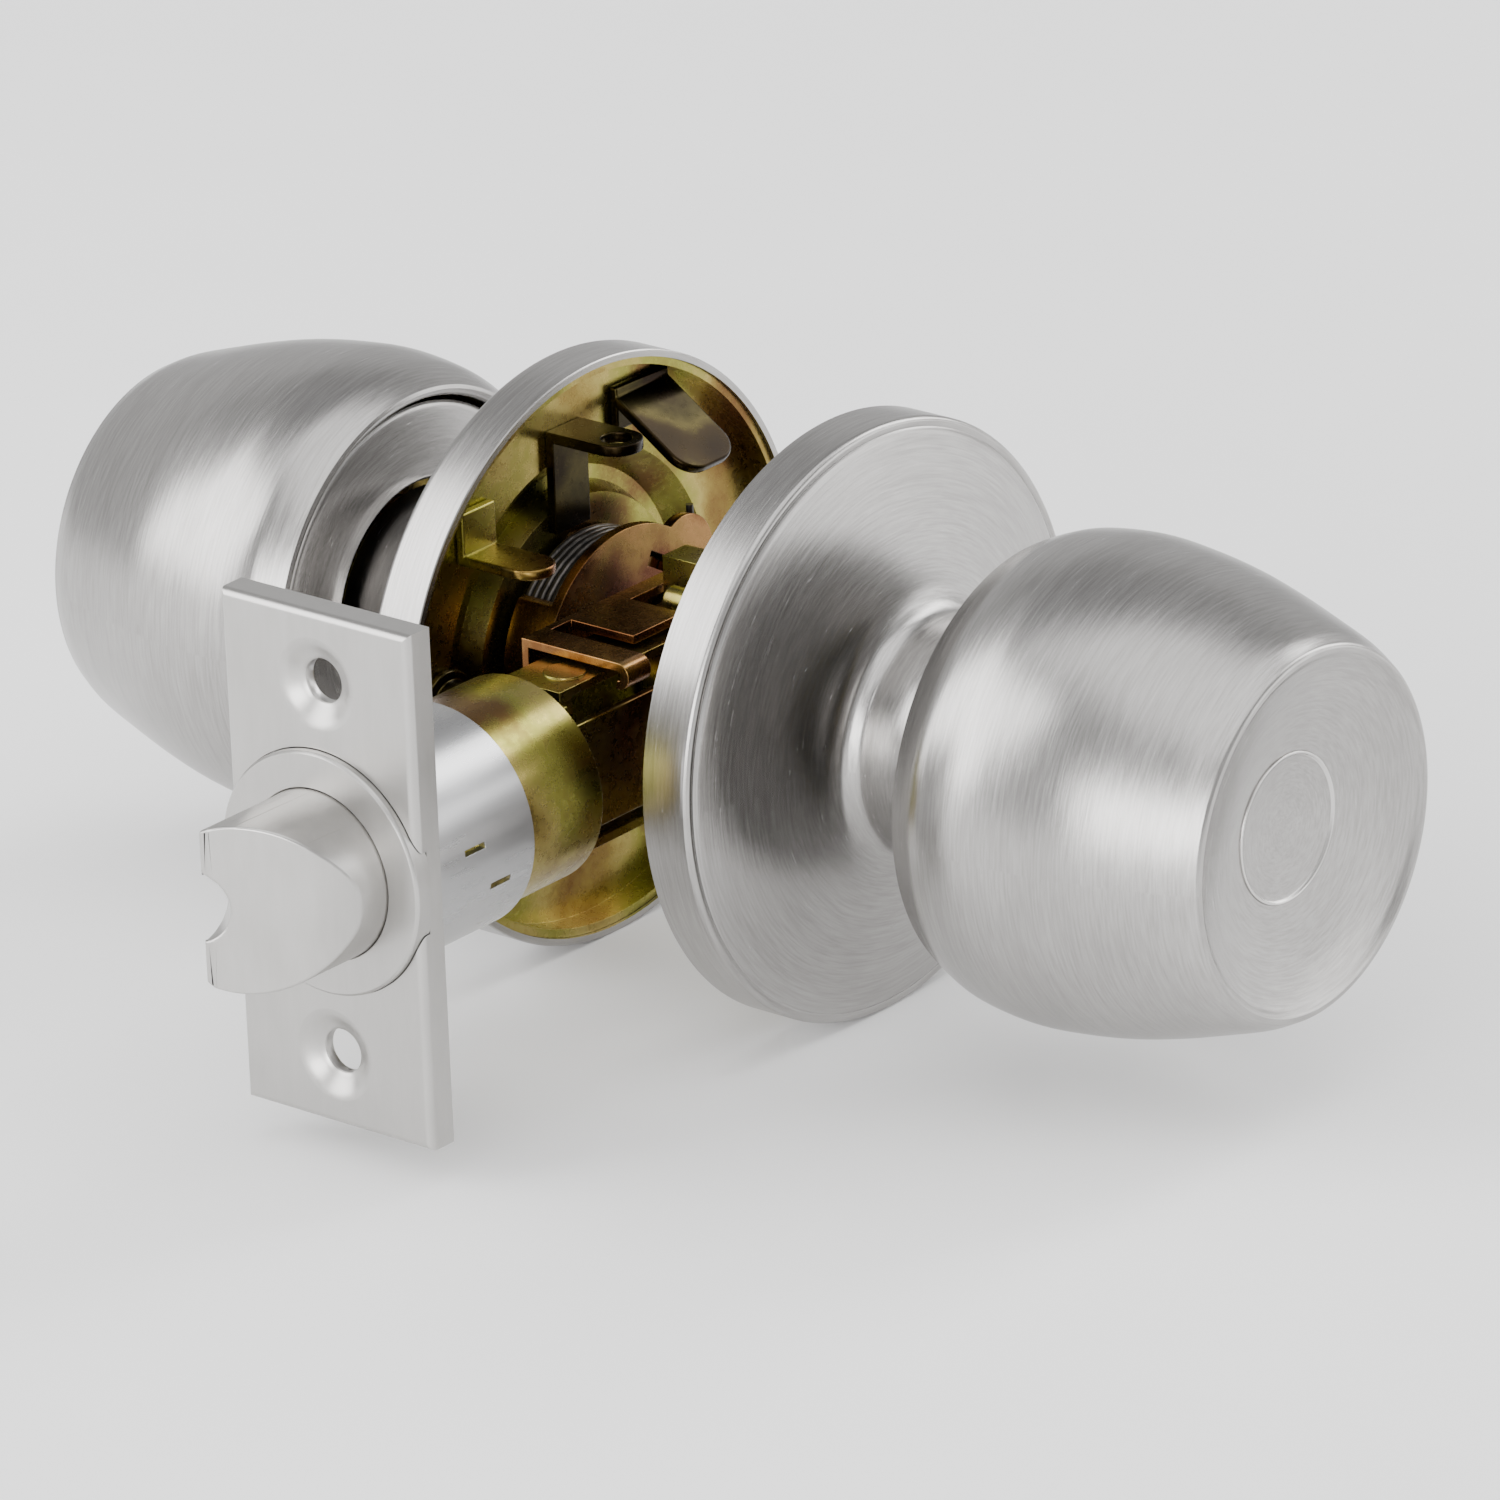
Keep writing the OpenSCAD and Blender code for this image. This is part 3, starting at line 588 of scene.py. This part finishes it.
def build_bolt():
    """Latch bolt: round bar, flat back, convex bevel, bite at the tip, inner shoulder."""
    low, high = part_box("bolt")
    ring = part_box("flange_ring")[0][0] / MM
    tip, end = low[0] / MM, high[0] / MM
    r, flat = 9.3, 4.1
    bevel = smooth([(-r - 0.2, 2.4), (-8.9, 4.6), (-6.4, 7.8), (-2, 10.9), (3, ring - tip)], 12)
    back = [(flat, ring - tip), (flat, 0.6), (r + 1, 0.6), (r + 1, -30), (-r - 1, -30)]
    outline = prism([(ring - d, y) for y, d in bevel + back], 20)
    mesh = cut(shape(rod(r, tip - 1, end, 160, ALONG_LATCH)), shape(outline), "INTERSECT")
    bite = (Matrix.Translation((tip * MM, 3.5 * MM, 0))
            @ Matrix.Rotation(math.radians(-45), 4, "Z")
            @ Matrix.Translation((-1.5 * MM, 0, 0))
            @ Matrix.Rotation(math.radians(90), 4, "X"))
    mesh = cut(shape(mesh), shape(rod(3.9, -6, 6, 96, bite)), "DIFFERENCE")
    collar = rod((high[2] - low[2]) / 2 / MM, end - 1.4, end, 128, ALONG_LATCH)
    mesh = cut(shape(mesh), shape(collar), "UNION")
    bm = bmesh.new()
    bm.from_mesh(mesh)
    bmesh.ops.remove_doubles(bm, verts=bm.verts, dist=1e-5)
    edges = [e for e in bm.edges if len(e.link_faces) == 2
             and e.calc_face_angle(0.0) > math.radians(22)]
    bmesh.ops.bevel(bm, geom=edges, offset=0.3 * MM, segments=3, profile=0.5,
                    affect="EDGES", clamp_overlap=False)
    bm.to_mesh(mesh)
    bm.free()
    mesh.materials.clear()
    settle(add_piece("latch_bolt", mesh, ["bolt"], 30.0))


def screw_dimple(low_x, z):
    """Solid that leaves a soft pressed countersink and its hole, cut from the front."""
    sunk = [(5.3, -0.02), (4.95, 0.05), (4.6, 0.16), (4.2, 0.34), (3.8, 0.58), (3.3, 0.88),
            (2.9, 1.08), (2.6, 1.20), (2.45, 1.32), (2.4, 1.5)]
    mesh = lathe([(0, -1.0), (5.3, -1.0)] + sunk + [(2.4, 4.5), (0, 4.5)], 1, 128, closed=False)
    mesh.transform(Matrix.Translation((low_x, 0, z)) @ FACE_LATCH)
    return shape(mesh)


def box(low, high):
    """Bare box mesh between two corners, in metres."""
    mesh = bpy.data.meshes.new("box")
    bm = bmesh.new()
    middle = (Vector(low) + Vector(high)) / 2
    size = Vector(high) - Vector(low)
    bmesh.ops.create_cube(bm, size=1.0,
                          matrix=Matrix.Translation(middle) @ Matrix.Diagonal((*size, 1.0)))
    bm.to_mesh(mesh)
    bm.free()
    return mesh


def round_front(mesh, low_x):
    """Rolls the front edges of the faceplate and eases its upright corners."""
    bm = bmesh.new()
    bm.from_mesh(mesh)
    front = [e for e in bm.edges if all(abs(v.co.x - low_x) < 1e-6 for v in e.verts)]
    bmesh.ops.bevel(bm, geom=front, offset=0.95 * MM, segments=8, profile=0.5,
                    affect="EDGES", clamp_overlap=True)
    bm.to_mesh(mesh)
    bm.free()
    return mesh


def build_faceplate():
    """Stamped faceplate: rolled front edges, hollow back, ring opening, two countersinks."""
    low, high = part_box("faceplate")
    sheet = 1.4 * MM
    mesh = round_front(box(low, high), low[0])
    hollow = box((low[0] + sheet, low[1] + sheet, low[2] + sheet),
                 (high[0] + sheet, high[1] - sheet, high[2] - sheet))
    mesh = cut(shape(mesh), shape(hollow), "DIFFERENCE")
    ring = (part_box("flange_ring")[1][2]) / MM + 0.1
    opening = Matrix.Translation((low[0], 0, 0)) @ ALONG_LATCH
    mesh = cut(shape(mesh), shape(rod(ring, -2, 1.5, 192, opening)), "DIFFERENCE")
    screws = next(m for m in frame["record"]["mounts"] if m["name"] == "faceplate_screws")
    half_span = screws["dims"]["spacing_y_mm"] / 2 * MM
    for z in (-half_span, half_span):
        mesh = cut(shape(mesh), screw_dimple(low[0], z), "DIFFERENCE")
    mesh.materials.clear()
    settle(add_piece("faceplate_shell", mesh, ["faceplate"], 20.0))


def build_ring():
    """Flat ring round the bolt, with crisp edges."""
    low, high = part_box("flange_ring")
    big, deep, bore = high[2] / MM, (high[0] - low[0]) / MM, 9.35
    profile = [(bore, 0.12), (bore + 0.12, 0), (big - 0.42, 0), (big - 0.3, 0.03),
               (big - 0.06, 0.27), (big, 0.4), (big, deep), (bore, deep)]
    mesh = lathe(profile, 1, 192)
    mesh.transform(Matrix.Translation((low[0], 0, 0)) @ FACE_LATCH)
    settle(add_piece("bolt_ring", mesh, ["flange_ring"], 30.0))


def build_coil(name, node, radius, wire, pitch, turns, start_deg, legs, place):
    """Round wire spring: helix with straight legs, as one smooth tube."""
    points = []
    per = 40
    steps = round(per * turns)
    a0 = math.radians(start_deg)
    tangent = Vector((-math.sin(a0), math.cos(a0), 0.0))
    base = Vector((radius * math.cos(a0), radius * math.sin(a0), 0.0))
    if legs[0]:
        points.append(base - tangent * legs[0])
    for i in range(steps + 1):
        a = a0 + 2 * math.pi * i / per
        points.append(Vector((radius * math.cos(a), radius * math.sin(a), pitch * i / per)))
    if legs[1]:
        a = a0 + 2 * math.pi * steps / per
        points.append(points[-1] + Vector((-math.sin(a), math.cos(a), 0.0)) * legs[1])
    curve = bpy.data.curves.new(name, "CURVE")
    curve.dimensions = "3D"
    curve.bevel_depth = wire * MM
    curve.bevel_resolution = 5
    curve.use_fill_caps = True
    spline = curve.splines.new("POLY")
    spline.points.add(len(points) - 1)
    for p, q in zip(spline.points, points):
        world = place @ (q * MM)
        p.co = (*world, 1.0)
    spline.use_smooth = True
    holder = bpy.data.objects.new(name + "_path", curve)
    bpy.context.scene.collection.objects.link(holder)
    depsgraph = bpy.context.evaluated_depsgraph_get()
    mesh = bpy.data.meshes.new_from_object(holder.evaluated_get(depsgraph))
    bpy.data.objects.remove(holder)
    mesh.materials.clear()
    return add_piece(name, mesh, [node], 60.0)


def build_springs():
    """Two torsion springs at the liners, and the bolt spring, which gets a mesh of its own."""
    gap = half_gap()
    turn_front = Matrix.Rotation(math.radians(90), 4, "X")
    turn_rear = Matrix.Rotation(math.radians(180), 4, "Z") @ turn_front
    for prefix, turn in (("front", turn_front), ("rear", turn_rear)):
        place = turn @ Matrix.Translation((0, 0, (gap - 1.5) * MM))
        build_coil(prefix + "_return_coil", prefix + "_spring", 12.9, 0.42, 0.9, 5.25, 180.0,
                   (13.0, 6.5), place)
    low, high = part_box("bolt_spring")
    length = (high[0] - low[0]) / MM
    wire, turns = 0.4, 6.0
    place = Matrix.Translation((low[0] + wire * MM, 0, 0)) @ ALONG_LATCH
    coil = build_coil("bolt_coil", "bolt_spring", 7.0, wire, (length - 2 * wire) / turns, turns,
                      0.0, (0, 0), place)
    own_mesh(coil)


# ---------------------------------------------------------------- studio

# Name, place, size (both in metres) and power in watts. All face the origin.
LIGHTS = [
    ("left_box", (-0.80, 0.80, 0.62), (0.9, 1.1), 18.0),
    ("right_box", (1.1, -0.35, 0.75), (0.5, 0.9), 11.0),
    ("overhead", (-0.2, -0.3, 1.6), (1.8, 1.8), 22.0),
    ("front_fill", (-1.5, -0.5, 0.35), (1.3, 0.7), 25.0),
    ("right_low", (1.0, -1.1, 0.35), (1.2, 0.7), 7.0),
]
FLOOR_HALF = 14.0


def add_light(name, place, size, power):
    data = bpy.data.lights.new(name, "AREA")
    data.shape = "RECTANGLE"
    data.size, data.size_y = size
    data.energy = power
    obj = bpy.data.objects.new(name, data)
    bpy.context.scene.collection.objects.link(obj)
    obj.location = place
    obj.rotation_euler = (-Vector(place)).to_track_quat("-Z", "Y").to_euler()


def build_world():
    """Soft room: bright round the sides, dimmer overhead."""
    world = bpy.data.worlds.new("studio")
    world.use_nodes = True
    nodes, links = world.node_tree.nodes, world.node_tree.links
    coord = nodes.new("ShaderNodeTexCoord")
    split = nodes.new("ShaderNodeSeparateXYZ")
    links.new(coord.outputs["Generated"], split.inputs[0])
    shade = ramp(nodes, links, split.outputs[2],
                 [(0.0, (0.80, 0.80, 0.80)), (0.48, (0.90, 0.90, 0.90)),
                  (0.62, (0.55, 0.55, 0.55)), (1.0, (0.32, 0.32, 0.33))])
    links.new(shade, nodes["Background"].inputs[0])
    bpy.context.scene.world = world


def build_studio():
    """World, a pale floor under the roses, and the lights."""
    build_world()
    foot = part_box("rear_rose")[0][2]
    mesh = bpy.data.meshes.new("floor")
    corners = [(-1, -1), (1, -1), (1, 1), (-1, 1)]
    mesh.from_pydata([(x * FLOOR_HALF, y * FLOOR_HALF, foot) for x, y in corners],
                     [], [(0, 1, 2, 3)])
    floor = bpy.data.objects.new("floor", mesh)
    bpy.context.scene.collection.objects.link(floor)
    floor.data.materials.append(floor_material())
    for name, place, size, power in LIGHTS:
        add_light(name, place, size, power)


def build_camera():
    """Camera frame from azimuth, elevation and roll; the lens centre is off the target."""
    a, e, roll = (math.radians(v) for v in (CAM_AZIMUTH, CAM_ELEVATION, CAM_ROLL))
    back = Vector((math.sin(a) * math.cos(e), -math.cos(a) * math.cos(e), math.sin(e)))
    right = Vector((math.cos(a), math.sin(a), 0.0))
    up = back.cross(right)
    right, up = (right * math.cos(roll) + up * math.sin(roll),
                 up * math.cos(roll) - right * math.sin(roll))
    place = back * CAM_DISTANCE + right * CAM_SIDE + up * CAM_RISE
    data = bpy.data.cameras.new("camera")
    data.sensor_width = 36.0
    data.lens = CAM_LENS
    data.clip_end = 20.0
    obj = bpy.data.objects.new("camera", data)
    obj.matrix_world = Matrix.Translation(place) @ Matrix((right, up, back)).transposed().to_4x4()
    bpy.context.scene.collection.objects.link(obj)
    bpy.context.scene.camera = obj


for side, prefix in ((-1, "front"), (1, "rear")):
    build_knob(side, prefix)
    build_face_disc(side, prefix)
    build_cap(side, prefix)
    build_rose(side, prefix)
for width, node_names in SOFT.items():
    for node_name in node_names:
        softened(node_name, width)
build_bolt()
build_faceplate()
build_ring()
build_springs()
build_studio()
build_camera()
